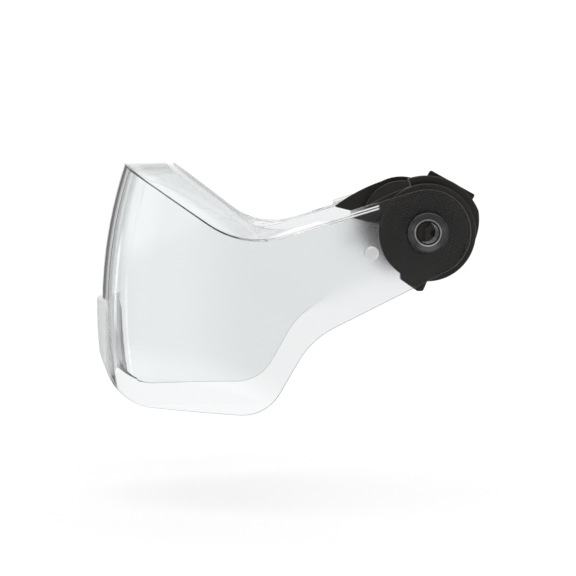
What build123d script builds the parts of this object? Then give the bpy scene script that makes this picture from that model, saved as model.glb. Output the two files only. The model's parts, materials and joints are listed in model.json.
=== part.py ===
"""Clear helmet face shield with its two black slot adapters.

Frame: the origin is on the pivot axis, midway between the arms. The visor faces -X,
the wearer's left side is -Y and +Z is up. Lengths are in millimetres, angles in degrees.
Every pivot piece is made for the left side and mirrored to the right.
"""
import os
from math import atan, cos, hypot, radians, sin, sqrt

from build123d import *

os.makedirs("parts", exist_ok=True)

# ---- driving dimensions of the visor ----
wall = 2.2                      # polycarbonate thickness
front_x, front_z = -193.6, -50.0            # foremost point of the outer wall
front_radius = 280.0            # side-view radius of the leaning front
front_margin = 12.0             # the side view's outline passes this far ahead of the front
plan_arcs = ((150.0, 0.0, 15.0),            # plan arcs as radius, first and last heading:
             (40.0, 15.0, 55.0),            # blunt front, tighter corner,
             (190.0, 55.0, 90.0))           # and a long cheek that ends along X
rear_x = 40.0                   # the raw wall ends behind the arms
section_heights = (-114.0, -82.0, -50.0, -18.0, 14.0, 46.0)
through = 250.0                 # longer than the visor, for cuts right through it

arm_radius = 25.2               # round arm end about the pivot
arm_top_slope, arm_under_slope = 0.30, 0.50
crease_drop = 2.9               # crease below the arm's top edge
crease_end_x = -45.0            # behind here the arm stands above its crease
step_radius = 1.3               # rounds of that step in the arm's edge
brow_front = (-179.5, 39.5)     # top of the front at the mid-plane
brow_slope = -0.665             # crease falling back from the brow
saddle_radius = 52.0
throat_radius = 50.0
cheek_slope = 1.75              # steep lower edge behind the cheek
cheek_foot = (-93.7, -107.6)    # corner of the lower edge
cheek_foot_radius = 26.0
jaw_front = (-181.0, -104.5)    # corner under the front
jaw_slope = -2.0                # side view of the corner's front side
jaw_radius = 32.0

flange_thickness = 1.5          # brow flange, turned rearward from the crease
flange_front = -150.0           # its free edge at the mid-plane
flange_top_drop = 1.0           # the crease starts this far below the top of the front
flange_slope = -0.78            # side view of the free edge behind the brow
flange_drop = 1.9               # free edge below the arm's top edge
flange_saddle_radius = 45.0
flange_inset = 0.6              # the wall stands proud of the flange at the crease
flange_reach = 23.0             # inward width beside the head
flange_stations = 14
flange_end_x = -62.0            # behind here only a low rib is left
flange_end_radius = 16.0
rib_end_x = -28.0
rib_depth = 0.8                 # rib proud of the arm's inner face

pad_thickness = 3.0             # thicker chin field low on the front, fading out sideways
pad_half_width = 45.0
pad_top = -44.0
pad_corner = 22.0

# ---- driving dimensions of each pivot, listed from the arm inwards ----
running_gap = 0.05              # radial play between bush and rivet
side_play = 0.1                 # axial play between visor and carrier
rivet_bore, rivet_shank, rivet_head = 6.2, 7.2, 11.8
head_height, head_lip, lip_round = 3.0, 1.2, 0.6
funnel_radius, funnel_floor = 7.4, 0.7
bush_radius, bush_shoulder, shoulder_thickness = 8.6, 12.0, 1.0

plate_radius, plate_depth = 28.5, 5.0       # fixed plate with a pointed horn
horn_tip = (-44.5, 8.7)
horn_root = (-26.0, 4.1)
horn_heading = 97.0             # polar angle where the horn's curved back leaves the plate's rim
horn_back = (-24.5, 20.8)       # middle of that curve
horn_thickness = 2.0            # the horn is thinner than the plate and lies at its back
tab_outline = (                 # ear under the plate, as distance and polar angle
    (27.0, 234.0), (31.4, 240.4), (34.6, 260.5), (34.2, 266.0), (27.0, 271.5))
tab_corner, horn_tip_radius, edge_round = 1.4, 0.6, 0.8

groove_radii, groove_width, groove_depth = (20.4, 24.6), 0.8, 0.4   # rings in the plate's face

washer_thickness, washer_radius = 0.8, 20.0
hub_radius, carrier_depth = 26.0, 6.0
collar_radius, collar_start, collar_end = 33.0, 22.0, 109.0     # polar angles at rest
heel_middle, heel_finish = (29.6, -5.0), (26.0, -52.0)  # curve from the collar back to the hub
carrier_round = 0.7
carrier_parked = 60.0           # the right carrier rests turned back by this much

blade_width, blade_thickness = 30.0, 3.0    # blade for a helmet's accessory slot
blade_tilt = 29.0               # the slot leans back from upright
blade_root, blade_reach = 14.5, 33.0        # pivot to the blade's inner and outer edge
blade_slot_length, blade_slot_width = 11.0, 8.0
blade_chamfer, blade_corner = 0.6, 1.2
blade_screw_spread, blade_screw_height = 9.0, 20.5
blade_screw_radius, blade_screw_head, blade_screw_socket = 1.25, 2.4, 1.1
blade_screw_sink, blade_screw_depth = 1.4, 4.0

spring_thickness, spring_height, spring_radius = 0.5, 1.5, 11.0
ring_thickness, ring_radius, ring_gap = 1.2, 9.8, 3.0
tail_height, tail_radius = 0.8, 8.2         # flared tail that holds the ring

screw_orbit, screw_angle = 34.6, 200.1      # stop screw about the pivot
screw_head, screw_shank, screw_head_height, screw_socket = 4.1, 2.0, 2.0, 1.3
screw_head_round = 1.4
sleeve_radius, sleeve_end_gap = 4.0, 2.0    # sleeve that the collar runs up against


def plan_joints(offset):
    """Plan curve on the +Y side as arcs (start, middle, end), X measured from the front."""
    x, y, arcs = -offset, 0.0, []
    for radius, first, last in plan_arcs:
        points = []
        for heading in (first, (first + last) / 2, last):
            along = (radius + offset) * (cos(radians(first)) - cos(radians(heading)))
            across = (radius + offset) * (sin(radians(heading)) - sin(radians(first)))
            points.append((x + along, y + across))
        arcs.append(points)
        x, y = points[-1]
    return arcs


half_width = plan_joints(0.0)[-1][-1][1]
inner_face = half_width - wall


def half_width_at(depth):
    """Outer half width of the wall at a distance behind its front."""
    for (radius, first, _), (start, _, end) in zip(plan_arcs, plan_joints(0.0)):
        if depth <= end[0]:
            cosine = cos(radians(first)) - (depth - start[0]) / radius
            return start[1] + radius * (sqrt(1.0 - cosine * cosine) - sin(radians(first)))
    return half_width


def depth_at(across):
    """Distance behind its front where the wall has a given outer half width."""
    for (radius, first, last), (start, _, end) in zip(plan_arcs, plan_joints(0.0)):
        if across <= end[1]:
            sine = sin(radians(first)) + (across - start[1]) / radius
            return start[0] + radius * (cos(radians(first)) - sqrt(1.0 - sine * sine))
    return rear_x


def front_at(z):
    """X of the outer front at a height: the front leans back as one arc."""
    return front_x + front_radius - sqrt(front_radius ** 2 - (z - front_z) ** 2)


def plan_band(outer, inner, z):
    """Face between two offsets of the U-shaped plan curve at one height."""
    front = front_at(z)
    with BuildSketch(Plane.XY.offset(z)) as band:
        with BuildLine():
            for side in (1, -1):
                for offset in (outer, inner):
                    for arc in plan_joints(offset):
                        ThreePointArc(*[(front + x, side * y) for x, y in arc])
                    Line((front + arc[-1][0], side * arc[-1][1]), (rear_x, side * arc[-1][1]))
                Line((rear_x, side * (half_width + outer)), (rear_x, side * (half_width + inner)))
        make_face()
    return band


# ---- side view of the visor ----
def arm_top(x, drop=0.0):
    """Height of the arm's top edge, or of a line parallel to it and below."""
    return arm_top_slope * x + arm_radius * hypot(1.0, arm_top_slope) - drop


def crossing(point_a, slope_a, point_b, slope_b):
    """Where two lines, each given by a point and a slope, cross."""
    x = (point_b[1] - point_a[1] + slope_a * point_a[0] - slope_b * point_b[0]) / (slope_a - slope_b)
    return (x, point_a[1] + slope_a * (x - point_a[0]))


top_angle, under_angle = atan(arm_top_slope), atan(arm_under_slope)
top_tangent = (-arm_radius * sin(top_angle), arm_radius * cos(top_angle))
under_tangent = (arm_radius * sin(under_angle), -arm_radius * cos(under_angle))
saddle = crossing(brow_front, brow_slope, (crease_end_x, arm_top(crease_end_x, crease_drop)), arm_top_slope)
throat = crossing(cheek_foot, cheek_slope, under_tangent, arm_under_slope)
clear_x = front_x - front_margin
brow_clear = (clear_x, brow_front[1] + (clear_x - brow_front[0]) * brow_slope)
jaw_clear = (clear_x, jaw_front[1] + (clear_x - jaw_front[0]) * jaw_slope)

with BuildSketch(Plane.XZ) as side_outline:
    with BuildLine():
        Polyline(brow_clear, saddle, (crease_end_x, arm_top(crease_end_x, crease_drop)),
                 (crease_end_x, arm_top(crease_end_x)), top_tangent)
        ThreePointArc(top_tangent, (arm_radius, 0), under_tangent)
        Polyline(under_tangent, throat, cheek_foot, jaw_front, jaw_clear, brow_clear)
    make_face()
    for corner, radius in ((saddle, saddle_radius), (throat, throat_radius),
                           (cheek_foot, cheek_foot_radius), (jaw_front, jaw_radius),
                           ((crease_end_x, arm_top(crease_end_x, crease_drop)), step_radius),
                           ((crease_end_x, arm_top(crease_end_x)), step_radius)):
        fillet(side_outline.vertices().sort_by_distance(corner)[0], radius)


# ---- visor, one moulding: wall, brow flange and chin pad ----
crease_start = (front_at(brow_front[1]) + flange_inset, brow_front[1] - flange_top_drop)
flange_saddle = crossing((flange_front, brow_front[1]), flange_slope,
                         (rib_end_x, arm_top(rib_end_x, flange_drop)), arm_top_slope)

with BuildLine(Plane.XZ) as crease_line:
    FilletPolyline(crease_start, saddle, (rib_end_x, arm_top(rib_end_x, crease_drop)), radius=saddle_radius)
with BuildLine(Plane.XZ) as free_edge:
    FilletPolyline((flange_front, brow_front[1]), flange_saddle,
                   (rib_end_x, arm_top(rib_end_x, flange_drop)), radius=flange_saddle_radius)


def flange_edges():
    """The flange's crease and free edge, as splines over the whole width."""
    crease, free = [], []
    for station in range(-flange_stations, flange_stations + 1):
        share = (station / flange_stations) ** 2        # closer together at the nose
        side = 1 if station > 0 else -1
        low, high = crease_line.wire() @ share, free_edge.wire() @ share
        across = 0.0
        if station:
            across = side * (half_width_at(low.X - front_at(low.Z)) - flange_inset)
        reach = side * flange_reach * min(1.0, 2 * share)   # full reach from the saddle on
        crease.append(Vector(low.X, across, low.Z))
        free.append(Vector(high.X, across - reach, high.Z))
    return Edge.make_spline(crease), Edge.make_spline(free)


with BuildPart() as brow_flange:
    thicken(Face.make_surface_from_curves(*flange_edges()), amount=flange_thickness)
    with BuildSketch(Plane.XY) as behind_flange:
        with Locations((flange_end_x, 0)):
            Rectangle(through, 2 * (inner_face - rib_depth), align=(Align.MIN, Align.CENTER))
        fillet(behind_flange.vertices().group_by(Axis.X)[0], flange_end_radius)
    extrude(amount=through, both=True, mode=Mode.SUBTRACT)


pad_heights = [height for height in section_heights if height < 0.0]

def plan_crescent(z):
    """Chin field at one height: proud of the front at the mid-plane and flush at its sides."""
    side_depth = front_at(z) + depth_at(pad_half_width)
    with BuildSketch(Plane.XY.offset(z)) as crescent:
        with BuildLine():
            for depth, at_front in ((0.0, -pad_thickness), (wall / 2, wall / 2)):
                ThreePointArc((side_depth + depth, -pad_half_width), (front_at(z) + at_front, 0),
                              (side_depth + depth, pad_half_width))
            for side in (-pad_half_width, pad_half_width):
                Line((side_depth, side), (side_depth + wall / 2, side))
        make_face()
    return crescent


with BuildPart() as chin_pad:
    for height in pad_heights:
        add(plan_crescent(height).sketch)
    loft()
    with BuildSketch(Plane.YZ):
        with Locations((0, pad_top - through / 2)):
            RectangleRounded(2 * pad_half_width, through, pad_corner)
    extrude(amount=through, both=True, mode=Mode.INTERSECT)
    extrude(side_outline.sketch, amount=through, both=True, mode=Mode.INTERSECT)

screw_place = (screw_orbit * cos(radians(screw_angle)), screw_orbit * sin(radians(screw_angle)))

with BuildPart() as visor_shell:
    for height in section_heights:
        add(plan_band(0.0, -wall, height).sketch)
    loft()
    extrude(side_outline.sketch, amount=through, both=True, mode=Mode.INTERSECT)
    add(chin_pad.part)
    add(brow_flange.part)
    with BuildSketch(Plane.XZ):
        Circle(bush_radius)
        with Locations(screw_place):
            Circle(screw_shank)
    extrude(amount=through, both=True, mode=Mode.SUBTRACT)


# ---- pivot pieces, left side, placed by distance from the mid-plane ----
plate_face = inner_face - shoulder_thickness
plate_back = plate_face - plate_depth
washer_face = plate_back - side_play
carrier_face = washer_face - washer_thickness
back_face = carrier_face - carrier_depth
blade_back = back_face - blade_thickness
ring_face = back_face - spring_height
tail_face = ring_face - ring_thickness
head_face = half_width + side_play
sleeve_end = back_face + sleeve_end_gap
blade_plane = Plane.XZ.offset(blade_back)


def polar(radius, heading):
    """Side-view point at a distance and polar angle from the pivot."""
    return (radius * cos(radians(heading)), radius * sin(radians(heading)))


def sector(radius, first, last):
    """Pie-shaped face about the pivot."""
    with BuildSketch() as pie:
        with BuildLine():
            Line((0, 0), polar(radius, first))
            CenterArc((0, 0), radius, first, last - first)
            Line(polar(radius, last), (0, 0))
        make_face()
    return pie.sketch


def tilted(*points):
    """Places given upright on the blade, turned to its lean."""
    return [Rotation(0, 0, -blade_tilt) * Location((x, y)) for x, y in points]


def horn():
    """Pointed horn with a curved back, ahead of the plate."""
    with BuildSketch() as face:
        with BuildLine():
            ThreePointArc(polar(plate_radius, horn_heading), horn_back, horn_tip)
            Polyline(horn_tip, horn_root, (0, 0), polar(plate_radius, horn_heading))
        make_face()
        fillet(face.vertices().sort_by_distance(horn_tip)[0], horn_tip_radius)
    return face.sketch


def tab():
    """Ear that hangs under the plate, with its two lower corners rounded."""
    with BuildSketch() as face:
        with BuildLine():
            Polyline(*[polar(radius, heading) for radius, heading in tab_outline], close=True)
        make_face()
        fillet(face.vertices().sort_by(Axis.Y)[:2], tab_corner)
    return face.sketch


def heel(radius, start, middle, finish):
    """Face from the pivot to a curve that falls from the collar back to the hub."""
    with BuildSketch() as face:
        with BuildLine():
            ThreePointArc(polar(radius, start), polar(*middle), polar(*finish))
            Polyline(polar(*finish), (0, 0), polar(radius, start))
        make_face()
    return face.sketch


blade_screw_places = tilted((-blade_screw_spread, blade_screw_height),
                            (blade_screw_spread, blade_screw_height))

with BuildPart() as left_pivot_plate:
    with BuildSketch(Plane.XZ.offset(plate_back)):
        Circle(plate_radius)
        add(tab())
        Circle(bush_radius, mode=Mode.SUBTRACT)
    extrude(amount=plate_depth)
    fillet(left_pivot_plate.faces().sort_by(Axis.Y)[0].outer_wire().edges(), edge_round)
    with BuildSketch(Plane.XZ.offset(plate_face - groove_depth)):
        for groove_radius in groove_radii:
            Circle(groove_radius)
            Circle(groove_radius - groove_width, mode=Mode.SUBTRACT)
    extrude(amount=groove_depth, mode=Mode.SUBTRACT)
    with BuildSketch(Plane.XZ.offset(plate_back)):
        add(horn())
        Circle(bush_radius, mode=Mode.SUBTRACT)
    extrude(amount=horn_thickness)

with BuildPart() as left_pivot_bush:
    with BuildSketch(Plane.XZ.offset(plate_back)):
        Circle(bush_radius)
    extrude(amount=plate_depth + shoulder_thickness + wall)
    with BuildSketch(Plane.XZ.offset(plate_face)):
        Circle(bush_shoulder)
    extrude(amount=shoulder_thickness)
    with BuildSketch(Plane.XZ.offset(plate_back)):
        Circle(rivet_shank + running_gap)
    extrude(amount=plate_depth + shoulder_thickness + wall, mode=Mode.SUBTRACT)

with BuildPart() as left_friction_washer:
    with BuildSketch(Plane.XZ.offset(carrier_face)):
        Circle(washer_radius)
        Circle(rivet_shank, mode=Mode.SUBTRACT)
    extrude(amount=washer_thickness)

with BuildPart() as left_slot_carrier:
    with BuildSketch(Plane.XZ.offset(back_face)):
        Circle(hub_radius)
        add(sector(collar_radius, collar_start, collar_end))
        add(heel(collar_radius, collar_start, heel_middle, heel_finish))
        Circle(rivet_shank, mode=Mode.SUBTRACT)
    extrude(amount=carrier_depth)
    for rim_face in (left_slot_carrier.faces().sort_by(Axis.Y)[0], left_slot_carrier.faces().sort_by(Axis.Y)[-1]):
        fillet(rim_face.outer_wire().edges(), carrier_round)
    with BuildSketch(Plane.XZ.offset(back_face)):
        with Locations(*blade_screw_places):
            Circle(blade_screw_radius)
    extrude(amount=blade_screw_depth, mode=Mode.SUBTRACT)

with BuildPart() as left_slot_blade:
    with BuildSketch(blade_plane) as blade_profile:
        with Locations(*tilted((0, blade_root))):
            Rectangle(blade_width, blade_reach - blade_root, align=(Align.CENTER, Align.MIN))
            SlotOverall(blade_slot_length, blade_slot_width, mode=Mode.SUBTRACT)
        fillet(blade_profile.vertices().sort_by_distance((0, 0))[-2:], blade_corner)
    extrude(amount=blade_thickness)
    chamfer(left_slot_blade.faces().sort_by(Axis.Y)[-1].outer_wire().edges(), blade_chamfer)
    with BuildSketch(blade_plane):
        with Locations(*blade_screw_places):
            Circle(blade_screw_radius)
    extrude(amount=blade_thickness, mode=Mode.SUBTRACT)
    with BuildSketch(blade_plane):
        with Locations(*blade_screw_places):
            Circle(blade_screw_head)
    extrude(amount=blade_screw_sink, mode=Mode.SUBTRACT)

with BuildPart() as left_blade_screws:
    for radius, depth in ((blade_screw_head, blade_screw_sink),
                          (blade_screw_radius, blade_thickness + blade_screw_depth)):
        with BuildSketch(blade_plane):
            with Locations(*blade_screw_places):
                Circle(radius)
        extrude(amount=depth)
    with BuildSketch(blade_plane):
        with Locations(*blade_screw_places):
            RegularPolygon(blade_screw_socket, 6)
    extrude(amount=blade_screw_sink / 2, mode=Mode.SUBTRACT)

with BuildPart() as left_pivot_rivet:
    with BuildSketch(Plane.XY) as rivet_profile:      # X outward radius, Y distance from mid-plane
        with BuildLine():
            Polyline((rivet_bore, tail_face - tail_height), (tail_radius, tail_face - tail_height),
                     (tail_radius, tail_face), (rivet_shank, tail_face), (rivet_shank, head_face),
                     (rivet_head, head_face), (rivet_head, head_face + head_height - lip_round),
                     (rivet_head - lip_round, head_face + head_height),
                     (rivet_head - head_lip, head_face + head_height),
                     (funnel_radius, head_face + funnel_floor), (rivet_bore, head_face + funnel_floor),
                     close=True)
        make_face()
    revolve(axis=Axis.Y)

with BuildPart() as left_spring_washer:
    with BuildSketch(Plane.XY):
        with BuildLine():
            Polyline((rivet_shank, back_face), (spring_radius, ring_face + spring_thickness),
                     (spring_radius, ring_face), (rivet_shank, back_face - spring_thickness), close=True)
        make_face()
    revolve(axis=Axis.Y)

with BuildPart() as left_retaining_ring:
    with BuildSketch(Plane.XZ.offset(tail_face)):
        Circle(ring_radius)
        Circle(rivet_shank, mode=Mode.SUBTRACT)
        Rectangle(ring_gap, 2 * ring_radius, align=(Align.CENTER, Align.MAX), mode=Mode.SUBTRACT)
    extrude(amount=ring_thickness)

with BuildPart() as left_stop_screw:
    with BuildSketch(Plane.XZ.offset(sleeve_end)):
        with Locations(screw_place):
            Circle(screw_shank)
    extrude(amount=half_width - sleeve_end)
    with BuildSketch(Plane.XZ.offset(half_width)):
        with Locations(screw_place):
            Circle(screw_head)
    extrude(amount=screw_head_height)
    fillet(left_stop_screw.faces().sort_by(Axis.Y)[0].edges(), screw_head_round)
    with BuildSketch(Plane.XZ.offset(half_width + screw_head_height)):
        with Locations(screw_place):
            RegularPolygon(screw_socket, 6)
    extrude(amount=-screw_head_height / 2, mode=Mode.SUBTRACT)

with BuildPart() as left_stop_sleeve:
    with BuildSketch(Plane.XZ.offset(sleeve_end)):
        with Locations(screw_place):
            Circle(sleeve_radius)
            Circle(screw_shank, mode=Mode.SUBTRACT)
    extrude(amount=inner_face - sleeve_end)

# ---- both sides: what is fixed to the visor, and what turns with a carrier ----
fixed_pieces = {"pivot_plate": left_pivot_plate, "pivot_bush": left_pivot_bush,
                "stop_screw": left_stop_screw, "stop_sleeve": left_stop_sleeve}
carrier_pieces = {"slot_carrier": left_slot_carrier, "slot_blade": left_slot_blade,
                  "blade_screws": left_blade_screws, "pivot_rivet": left_pivot_rivet,
                  "friction_washer": left_friction_washer, "spring_washer": left_spring_washer,
                  "retaining_ring": left_retaining_ring}
pieces = {"visor_shell": visor_shell}
for group, turn in ((fixed_pieces, 0.0), (carrier_pieces, carrier_parked)):
    for piece_name, left in group.items():
        with BuildPart() as right:
            add(mirror(left.part, about=Plane.XZ, mode=Mode.PRIVATE), rotation=(0, turn, 0))
        pieces["left_" + piece_name] = left
        pieces["right_" + piece_name] = right

for piece_name, piece in pieces.items():
    piece.part.label = piece_name
    export_step(piece.part, f"parts/{piece_name}.step")
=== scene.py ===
"""Looks of the clear helmet face shield: studio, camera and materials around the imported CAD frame."""
import json
from math import cos, pi, radians, sin

import bpy
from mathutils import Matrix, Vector


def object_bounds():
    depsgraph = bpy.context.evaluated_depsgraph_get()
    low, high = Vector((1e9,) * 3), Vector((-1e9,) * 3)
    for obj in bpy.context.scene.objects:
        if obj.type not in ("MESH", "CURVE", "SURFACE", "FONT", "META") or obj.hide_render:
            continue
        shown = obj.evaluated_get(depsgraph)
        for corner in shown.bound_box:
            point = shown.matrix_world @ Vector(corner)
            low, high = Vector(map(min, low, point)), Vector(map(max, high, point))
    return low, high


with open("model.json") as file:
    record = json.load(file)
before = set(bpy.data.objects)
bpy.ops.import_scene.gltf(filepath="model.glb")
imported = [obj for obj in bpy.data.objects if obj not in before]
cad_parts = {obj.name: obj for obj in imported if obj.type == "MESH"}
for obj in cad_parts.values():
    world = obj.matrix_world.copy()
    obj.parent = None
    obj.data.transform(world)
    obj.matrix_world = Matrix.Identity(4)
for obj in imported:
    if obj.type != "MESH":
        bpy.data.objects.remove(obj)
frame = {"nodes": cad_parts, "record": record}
cad_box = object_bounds()

MM = 0.001
WHITE = (1.0, 1.0, 1.0)


# ---- camera ----
LENS_MM, SENSOR_MM = 140.0, 36.0
VIEW_AZIMUTH, VIEW_ELEVATION = radians(-1.918), radians(4.160)
VIEW_DISTANCE = 1.3947
VIEW_TARGET = Vector((-0.0780, 0.0, -0.0388))


def make_camera():
    """A long lens at the shield's side, a little above it."""
    forward = Vector((-sin(VIEW_AZIMUTH) * cos(VIEW_ELEVATION),
                      cos(VIEW_AZIMUTH) * cos(VIEW_ELEVATION),
                      -sin(VIEW_ELEVATION)))
    data = bpy.data.cameras.new("camera")
    data.lens = LENS_MM
    data.sensor_width = SENSOR_MM
    camera = bpy.data.objects.new("camera", data)
    camera.location = VIEW_TARGET - VIEW_DISTANCE * forward
    camera.rotation_euler = (radians(90.0) - VIEW_ELEVATION, 0.0, VIEW_AZIMUTH)
    bpy.context.scene.collection.objects.link(camera)
    bpy.context.scene.camera = camera


make_camera()


# ---- node helpers ----
MIX_SOCKETS = {"FLOAT": (2, 3, 0), "VECTOR": (4, 5, 1), "RGBA": (6, 7, 2)}      # inputs A and B, and output


class Graph:
    """Short way to add nodes and links to one node tree."""

    def __init__(self, tree):
        self.tree = tree

    def node(self, kind, **settings):
        made = self.tree.nodes.new(kind)
        for name, value in settings.items():
            setattr(made, name, value)
        return made

    def feed(self, socket, value):
        """Give a socket another node's output, a colour or a number."""
        if isinstance(value, bpy.types.NodeSocket):
            self.tree.links.new(value, socket)
        elif isinstance(value, tuple):
            socket.default_value = (*value, 1.0)
        else:
            socket.default_value = value

    def split(self, vector):
        """The x, y and z of a vector."""
        made = self.node("ShaderNodeSeparateXYZ")
        self.feed(made.inputs[0], vector)
        return tuple(made.outputs)

    def math(self, operation, first, second=None, clamp=False):
        made = self.node("ShaderNodeMath", operation=operation, use_clamp=clamp)
        self.feed(made.inputs[0], first)
        if second is not None:
            self.feed(made.inputs[1], second)
        return made.outputs[0]

    def product(self, first, *others):
        total = first
        for other in others:
            total = self.math("MULTIPLY", total, other)
        return total

    def line(self, value, slope, height):
        return self.math("ADD", self.math("MULTIPLY", value, slope), height)

    def strongest(self, *zones):
        """The largest of several zones, each a mask from 0 to 1 times its own amount."""
        strengths = [self.math("MULTIPLY", mask, amount) for mask, amount in zones]
        largest = strengths[0]
        for strength in strengths[1:]:
            largest = self.math("MAXIMUM", largest, strength)
        return largest

    def vector_math(self, operation, first, second=None):
        """Any vector operation: SCALE takes a number as its second, and DOT_PRODUCT gives a number."""
        made = self.node("ShaderNodeVectorMath", operation=operation)
        self.feed(made.inputs[0], first)
        if second is not None:
            self.feed(made.inputs["Scale" if operation == "SCALE" else 1], second)
        return made.outputs["Value" if operation == "DOT_PRODUCT" else "Vector"]

    def ramp(self, value, low, high, out_low, out_high):
        """Smooth step from out_low at low to out_high at high, where low may be the larger."""
        if low > high:
            low, high, out_low, out_high = high, low, out_high, out_low
        made = self.node("ShaderNodeMapRange", interpolation_type="SMOOTHSTEP")
        limits = {"From Min": low, "From Max": high, "To Min": out_low, "To Max": out_high}
        for name, number in limits.items():
            made.inputs[name].default_value = number
        self.feed(made.inputs["Value"], value)
        return made.outputs["Result"]

    def fade(self, value, off, on):
        """Smooth step from 0 at off to 1 at on."""
        return self.ramp(value, off, on, 0.0, 1.0)

    def mix(self, kind, factor, first, second):
        made = self.node("ShaderNodeMix", data_type=kind)
        input_a, input_b, output = MIX_SOCKETS[kind]
        self.feed(made.inputs[0], factor)
        self.feed(made.inputs[input_a], first)
        self.feed(made.inputs[input_b], second)
        return made.outputs[output]

    def noise(self, vector, scale, detail=2.0, roughness=0.5):
        made = self.node("ShaderNodeTexNoise")
        made.inputs["Scale"].default_value = scale
        made.inputs["Detail"].default_value = detail
        made.inputs["Roughness"].default_value = roughness
        self.feed(made.inputs["Vector"], vector)
        return made.outputs["Fac"]

    def bump(self, height, strength, distance):
        made = self.node("ShaderNodeBump")
        made.inputs["Strength"].default_value = strength
        made.inputs["Distance"].default_value = distance
        self.feed(made.inputs["Height"], height)
        return made.outputs["Normal"]


def new_material(name):
    """A material with a bare Principled shader, its graph and the object's own coordinates."""
    material = bpy.data.materials.new(name)
    material.use_nodes = True
    graph = Graph(material.node_tree)
    shader = material.node_tree.nodes["Principled BSDF"]
    place = graph.node("ShaderNodeTexCoord").outputs["Object"]
    return material, graph, shader, place


# ---- clear polycarbonate: shape of the sheet ----
FRONT_X, FRONT_Z, FRONT_LEAN = -193.6 * MM, -50.0 * MM, 280.0 * MM      # foremost point, side-view radius
PLAN_RADII = (150.0 * MM, 40.0 * MM, 190.0 * MM)    # front, corner and side arcs of the U
PLAN_JOINTS = (15.0, 55.0)                          # where they meet, in degrees from dead ahead
CREASE_SLOPE, CREASE_HEIGHT = 0.30, 23.4 * MM       # side view of the rib along the arm
CREASE_START, CREASE_END = -100.0 * MM, -28.0 * MM
BROW_SLOPE, BROW_HEIGHT = -0.665, -79.9 * MM        # side view of the crease over the brow
FREE_SLOPE, FREE_HEIGHT = -0.78, -77.5 * MM         # side view of the flange's free edge

# ---- clear polycarbonate: where each zone begins and where it is full ----
CHIN_TOP = (-43.0 * MM, -44.0 * MM)                     # z
CHIN_BACK = (-187.5 * MM, -190.5 * MM)                  # x
ARMS_FRONT = (-80.0 * MM, -48.0 * MM)                   # x
RIB_FRONT = (CREASE_START, CREASE_START + 20.0 * MM)    # x
RIB_BACK = (CREASE_END, CREASE_END - 1.0 * MM)          # x
RIB_HALF_WIDTH = 0.8 * MM                               # from the crease to each of two bright lines, painted highlights drawn with frosting and a glow
RIB_LINE = (0.55 * MM, 0.3 * MM)                        # distance from such a line
FLANGE_BASE = (3.0 * MM, 6.0 * MM)                      # height over the brow's crease
FREE_EDGE = (-3.0 * MM, -2.0 * MM)                      # height over the flange's free edge
FREE_EDGE_BACK = (-95.0 * MM, -105.0 * MM)              # x
RIM_RADIUS = 0.5 * MM                                   # rounding of the sheet's ground edges
RIM_SAMPLES = 6
RIM_LEVEL = (0.995, 0.90)                               # agreement of the flat and the rounded normal
OUTLINE_FRONT, OUTLINE_ARMS = -110.0 * MM, -85.0 * MM   # x, where the outline goes from faint to full
OUTLINE_FAINT = 0.2
GRAZING = (0.87, 1.0)                                   # Layer Weight's facing, 1 when seen edge on
EXACT_LEVEL = (0.997, 0.999)                            # agreement of the flat and the exact normal

# ---- clear polycarbonate: what each zone does ----
POLISHED, CHIN_SATIN, ARMS_SATIN, FLANGE_SATIN = 0.008, 0.25, 0.19, 0.05       # roughness
CHIN_CLOUD, RIB_CLOUD, RIM_CLOUD, FREE_CLOUD = 0.85, 0.9, 0.6, 0.8      # share of light not let through
# painted light: the chin field, rib and free edge glow although the sheet is no lamp
CHIN_GLOW, RIB_GLOW, FREE_GLOW = 0.12, 0.25, 0.16
CLEAR_TINT, GRAZING_TINT = (0.945, 0.960, 0.965), (0.70, 0.64, 0.59)
FLANGE_TINT, FLANGE_SHARE = (0.80, 0.815, 0.82), 0.6
# ground edges are frosted; their dark brown-grey colour is painted shade along the outline
GROUND_EDGE_SHADE_TINT = (0.42, 0.39, 0.37)


def wall_normal(graph, x, y, z):
    """Exact outward normal of the U-shaped wall, so that its facets never show."""
    rise = graph.math("SUBTRACT", z, FRONT_Z)
    rest = graph.math("SQRT", graph.math("SUBTRACT", FRONT_LEAN ** 2, graph.product(rise, rise)))
    front = graph.math("SUBTRACT", FRONT_X + FRONT_LEAN, rest)
    depth = graph.math("SUBTRACT", x, front)
    across = graph.math("ABSOLUTE", y)
    centre = (PLAN_RADII[0], 0.0)
    centre_depth, centre_across = centre
    for radius, next_radius, turned in zip(PLAN_RADII, PLAN_RADII[1:], PLAN_JOINTS):
        toward = (-cos(radians(turned)), sin(radians(turned)))
        joint = [middle + radius * part for middle, part in zip(centre, toward)]
        centre = [edge - next_radius * part for edge, part in zip(joint, toward)]
        ahead = graph.product(graph.math("SUBTRACT", depth, joint[0]), toward[1])
        beside = graph.product(graph.math("SUBTRACT", across, joint[1]), -toward[0])
        beyond = graph.math("GREATER_THAN", graph.math("ADD", ahead, beside), 0.0)
        centre_depth = graph.mix("FLOAT", beyond, centre_depth, centre[0])
        centre_across = graph.mix("FLOAT", beyond, centre_across, centre[1])
    out_depth = graph.math("MINIMUM", graph.math("SUBTRACT", depth, centre_depth), 0.0)
    out_across = graph.product(graph.math("SUBTRACT", across, centre_across), graph.math("SIGN", y))
    lean = graph.math("DIVIDE", graph.product(out_depth, -1.0, rise), rest)
    joined = graph.node("ShaderNodeCombineXYZ")
    for socket, value in zip(joined.inputs, (out_depth, out_across, lean)):
        graph.feed(socket, value)
    return graph.vector_math("NORMALIZE", joined.outputs[0])


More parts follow.
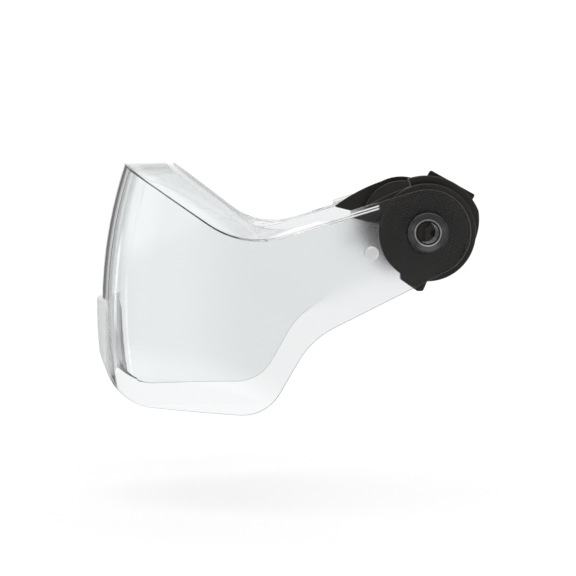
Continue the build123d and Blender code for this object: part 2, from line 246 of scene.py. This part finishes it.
def sheet_zones(graph, x, z):
    """Masks of the chin field, arms, rib, flange and free edge, each 1 inside its zone."""
    chin = graph.product(graph.fade(z, *CHIN_TOP), graph.fade(x, *CHIN_BACK))
    arms = graph.fade(x, *ARMS_FRONT)

    along_arm = graph.line(x, CREASE_SLOPE, CREASE_HEIGHT)
    off_rib = graph.math("ABSOLUTE", graph.math("SUBTRACT", z, along_arm))
    off_line = graph.math("ABSOLUTE", graph.math("SUBTRACT", off_rib, RIB_HALF_WIDTH))
    rib = graph.product(graph.fade(off_line, *RIB_LINE), graph.fade(x, *RIB_FRONT), graph.fade(x, *RIB_BACK))

    def above(slope, height):
        """Height over a crease, or over the rib where that is the higher."""
        return graph.math("SUBTRACT", z, graph.math("MAXIMUM", graph.line(x, slope, height), along_arm))

    flange = graph.fade(above(BROW_SLOPE, BROW_HEIGHT), *FLANGE_BASE)
    free_edge = graph.product(graph.fade(above(FREE_SLOPE, FREE_HEIGHT), *FREE_EDGE),
                              graph.fade(x, *FREE_EDGE_BACK))
    return chin, arms, rib, flange, free_edge


def sheet_normal(graph, surface, rounded, exact):
    """The exact normal on the wall's two faces, and the rounded one everywhere else."""
    facing = graph.vector_math("DOT_PRODUCT", surface, exact)
    turned = graph.vector_math("SCALE", exact, graph.math("SIGN", facing))
    on_wall = graph.fade(graph.math("ABSOLUTE", facing), *EXACT_LEVEL)
    return graph.mix("VECTOR", on_wall, rounded, turned)


def clear_polycarbonate():
    """Polished sheet: satin chin field and pivot ends, frosted rib and free edge, ground outline with a
    painted shade tint; the chin field, rib and free edge carry a painted glow.
    """
    material, graph, shader, place = new_material("clear_polycarbonate")
    shader.inputs["IOR"].default_value = 1.586
    x, y, z = graph.split(place)
    chin, arms, rib, flange, free_edge = sheet_zones(graph, x, z)

    bevel = graph.node("ShaderNodeBevel", samples=RIM_SAMPLES)
    bevel.inputs["Radius"].default_value = RIM_RADIUS
    rounded = bevel.outputs[0]
    surface = graph.node("ShaderNodeNewGeometry").outputs["Normal"]
    rim = graph.fade(graph.vector_math("DOT_PRODUCT", surface, rounded), *RIM_LEVEL)
    outline = graph.product(rim, graph.ramp(x, OUTLINE_FRONT, OUTLINE_ARMS, OUTLINE_FAINT, 1.0))

    satin = graph.strongest((chin, CHIN_SATIN), (arms, ARMS_SATIN), (flange, FLANGE_SATIN))
    graph.feed(shader.inputs["Roughness"], graph.math("MAXIMUM", satin, POLISHED))

    cloud = graph.strongest((chin, CHIN_CLOUD), (rib, RIB_CLOUD), (rim, RIM_CLOUD), (free_edge, FREE_CLOUD))
    graph.feed(shader.inputs["Transmission Weight"], graph.math("SUBTRACT", 1.0, cloud))

    graph.feed(shader.inputs["Emission Color"], WHITE)
    # painted glow on the chin field, free edge and rib
    glow = graph.strongest((chin, CHIN_GLOW), (free_edge, FREE_GLOW), (rib, RIB_GLOW))
    graph.feed(shader.inputs["Emission Strength"], glow)

    graze = graph.node("ShaderNodeLayerWeight")
    graze.inputs["Blend"].default_value = 0.5
    tint = graph.mix("RGBA", graph.fade(graze.outputs["Facing"], *GRAZING), CLEAR_TINT, GRAZING_TINT)
    tint = graph.mix("RGBA", graph.product(flange, FLANGE_SHARE), tint, FLANGE_TINT)
    # painted shade: the outline's frosted ground edges are darkened brown-grey
    ground = graph.math("SUBTRACT", outline, rib, clamp=True)
    graph.feed(shader.inputs["Base Color"], graph.mix("RGBA", ground, tint, GROUND_EDGE_SHADE_TINT))

    exact = wall_normal(graph, x, y, z)
    graph.feed(shader.inputs["Normal"], sheet_normal(graph, surface, rounded, exact))
    return material


# ---- moulded plastics ----
CLOUD_SPAN = (0.3, 0.7)         # the middle of a noise, where most of its values lie


def black_nylon():
    """Black moulding with a fine spark-eroded grain and slightly uneven gloss."""
    material, graph, shader, place = new_material("black_nylon")
    grain = graph.noise(place, scale=2600.0, detail=3.0, roughness=0.6)
    cloud = graph.noise(place, scale=60.0, detail=4.0)
    color = graph.mix("RGBA", cloud, (0.021, 0.0185, 0.0145), (0.029, 0.0255, 0.020))
    graph.feed(shader.inputs["Base Color"], color)
    graph.feed(shader.inputs["Roughness"], graph.ramp(cloud, *CLOUD_SPAN, 0.42, 0.55))
    graph.feed(shader.inputs["Normal"], graph.bump(grain, strength=0.12, distance=0.12 * MM))
    return material


def acetal(name, dull, bright):
    """Waxy turned plastic."""
    material, graph, shader, place = new_material(name)
    grain = graph.noise(place, scale=1800.0)
    cloud = graph.noise(place, scale=90.0, detail=3.0)
    graph.feed(shader.inputs["Base Color"], graph.mix("RGBA", cloud, dull, bright))
    graph.feed(shader.inputs["Roughness"], graph.ramp(cloud, *CLOUD_SPAN, 0.3, 0.42))
    graph.feed(shader.inputs["Normal"], graph.bump(grain, strength=0.15, distance=0.1 * MM))
    return material


# ---- turned and plated metal ----
BORE_SHADE_FADE = (6.7 * MM, 6.5 * MM)        # painted shade: the hollow rivet is darkened inside this radius
BORE_SHADE_COLOR = (0.012, 0.012, 0.011)
LIP_RADIUS = 7.5 * MM                   # and a bright ring, a painted highlight, lies on its funnel's lip
LIP_HIGHLIGHT_BAND = (0.5 * MM, 0.2 * MM)         # distance from the lip's radius
LIP_HIGHLIGHT_COLOR = (0.55, 0.55, 0.54)
GLOW_COLOR = (1.0, 0.99, 0.97)
ROUGHNESS_SPREAD = 0.12                 # how much it varies over the plating


def turned_metal(name, dull, bright, roughness, glow=0.0):
    """Metal with the fine rings that turning leaves; a glow keeps pale plating pale before the dark flag."""
    material, graph, shader, place = new_material(name)
    shader.inputs["Metallic"].default_value = 1.0
    graph.feed(shader.inputs["Emission Color"], GLOW_COLOR)
    graph.feed(shader.inputs["Emission Strength"], glow)

    x, _, z = graph.split(place)
    radius = graph.math("SQRT", graph.math("ADD", graph.product(x, x), graph.product(z, z)))
    rings = graph.node("ShaderNodeTexNoise", noise_dimensions="1D")
    rings.inputs["Scale"].default_value = 4200.0
    rings.inputs["Detail"].default_value = 3.0
    graph.feed(rings.inputs["W"], radius)
    graph.feed(shader.inputs["Normal"], graph.bump(rings.outputs["Fac"], strength=0.35, distance=0.08 * MM))

    cloud = graph.noise(place, scale=240.0, detail=4.0)
    off_lip_highlight = graph.math("ABSOLUTE", graph.math("SUBTRACT", radius, LIP_RADIUS))
    color = graph.mix("RGBA", cloud, dull, bright)
    # painted highlight: a bright ring on the funnel's lip
    color = graph.mix("RGBA", graph.fade(off_lip_highlight, *LIP_HIGHLIGHT_BAND), color, LIP_HIGHLIGHT_COLOR)
    # painted shade: dark inside the hollow rivet's bore
    color = graph.mix("RGBA", graph.fade(radius, *BORE_SHADE_FADE), color, BORE_SHADE_COLOR)
    graph.feed(shader.inputs["Base Color"], color)
    uneven = graph.ramp(cloud, *CLOUD_SPAN, roughness, roughness + ROUGHNESS_SPREAD)
    graph.feed(shader.inputs["Roughness"], uneven)
    return material


# ---- a material for each of the record's slots ----
materials = {
    "clear_polycarbonate": clear_polycarbonate(),
    "black_nylon": black_nylon(),
    "dark_acetal": acetal("dark_acetal", dull=(0.035, 0.034, 0.033), bright=(0.055, 0.053, 0.05)),
    "natural_acetal": acetal("natural_acetal", dull=(0.70, 0.70, 0.67), bright=(0.80, 0.80, 0.77)),
    "black_steel": turned_metal("black_steel", dull=(0.02, 0.02, 0.02), bright=(0.035, 0.034, 0.033),
                                roughness=0.35),
    "nickel_steel": turned_metal("nickel_steel", dull=(0.08, 0.08, 0.08), bright=(0.12, 0.12, 0.12),
                                 roughness=0.26),
    "zinc_steel": turned_metal("zinc_steel", dull=(0.85, 0.85, 0.84), bright=(0.95, 0.95, 0.94),
                               roughness=0.45, glow=0.16),
}

for part in frame["record"]["subparts"]:
    node = frame["nodes"][part["node"]]
    node.data.materials.clear()
    node.data.materials.append(materials[part["material_slot"]])


# ---- pale floor ----
FLOOR_RADIUS = 0.45
FLOOR_DROP = 0.06
FLOOR_SIDES = 96
FLOOR_DULL, FLOOR_BRIGHT = (0.59, 0.59, 0.59), (0.61, 0.61, 0.61)
FLOOR_GLOW = 0.575              # keeps the table evenly pale
FLOOR_BOUNCE = 0.0              # its glow in reflections, so that the visor's lower band stays visible


def make_floor():
    """A round white table that glows a little."""
    height = cad_box[0][2] - FLOOR_DROP
    turns = [2.0 * pi * step / FLOOR_SIDES for step in range(FLOOR_SIDES)]
    rim = [(VIEW_TARGET.x + FLOOR_RADIUS * cos(turn), FLOOR_RADIUS * sin(turn), height) for turn in turns]
    mesh = bpy.data.meshes.new("floor")
    mesh.from_pydata(rim, [], [tuple(range(FLOOR_SIDES))])
    floor = bpy.data.objects.new("floor", mesh)
    bpy.context.scene.collection.objects.link(floor)
    material, graph, shader, place = new_material("floor_white")
    speckle = graph.noise(place, scale=3.0)
    graph.feed(shader.inputs["Base Color"], graph.mix("RGBA", speckle, FLOOR_DULL, FLOOR_BRIGHT))
    shader.inputs["Roughness"].default_value = 0.9
    shader.inputs["Specular IOR Level"].default_value = 0.0
    graph.feed(shader.inputs["Emission Color"], WHITE)
    bounced = graph.node("ShaderNodeLightPath").outputs["Is Reflection Ray"]
    graph.feed(shader.inputs["Emission Strength"], graph.mix("FLOAT", bounced, FLOOR_GLOW, FLOOR_BOUNCE))
    mesh.materials.append(material)


make_floor()


# ---- studio light ----
SEEN_LIGHT = 1.05               # plain white, wherever the camera sees past the object
ROOM_LIGHT = 0.45               # what the camera's side of the room sends
BEHIND = (("depth", 0.05, 0.20), ("across", 0.24, 0.18))        # straight behind the object

# Each zone lies over the ones before it: how bright it is, and for each part of the direction
# that bounds it, where the zone begins and where it is full.
STUDIO_ZONES = (
    ("side walls", 0.5, (("depth", 0.40, 0.60),)),
    ("dark flags that draw the outline", 0.20, (("depth", 0.90, 0.95), ("height", 0.45, 0.25))),
    ("soft boxes", 0.9, (("across", 0.85, 0.94), ("depth", -0.49, -0.40), ("depth", 0.40, 0.30),
                         ("height", 0.55, 0.30), ("height", -0.02, 0.12))),
    ("strip lights", 3.2, (("depth", 0.40, 0.44), ("depth", 0.52, 0.48),
                           ("height", -0.14, -0.08), ("height", 0.12, 0.04))),
    ("black flag round the lens", 0.02, (("depth", -0.60, -0.97), ("height", 0.45, 0.10))),
    ("dome", 1.0, (("height", 0.55, 0.85),)),
    ("backdrop's top", 0.75, (*BEHIND, ("height", 0.85, 0.70))),
    ("backdrop", 1.0, (*BEHIND, ("height", 0.35, 0.15))),
    ("ground", 1.0, (("height", -0.14, -0.20),)),
)


def make_world():
    """The studio all round, from the direction (x, y, z): across is |x|, depth y and height z."""
    world = bpy.data.worlds.new("studio")
    world.use_nodes = True
    graph = Graph(world.node_tree)
    background = world.node_tree.nodes["Background"]
    x, depth, height = graph.split(graph.node("ShaderNodeTexCoord").outputs["Generated"])
    direction = {"across": graph.math("ABSOLUTE", x), "depth": depth, "height": height}
    light = ROOM_LIGHT
    for _, level, edges in STUDIO_ZONES:
        zone = graph.product(*[graph.fade(direction[part], off, on) for part, off, on in edges])
        light = graph.mix("FLOAT", zone, light, level)
    seen = graph.node("ShaderNodeLightPath").outputs["Is Camera Ray"]
    graph.feed(background.inputs["Strength"], graph.mix("FLOAT", seen, light, SEEN_LIGHT))
    graph.feed(background.inputs["Color"], WHITE)
    bpy.context.scene.world = world


make_world()
bpy.context.scene.view_settings.view_transform = "Standard"
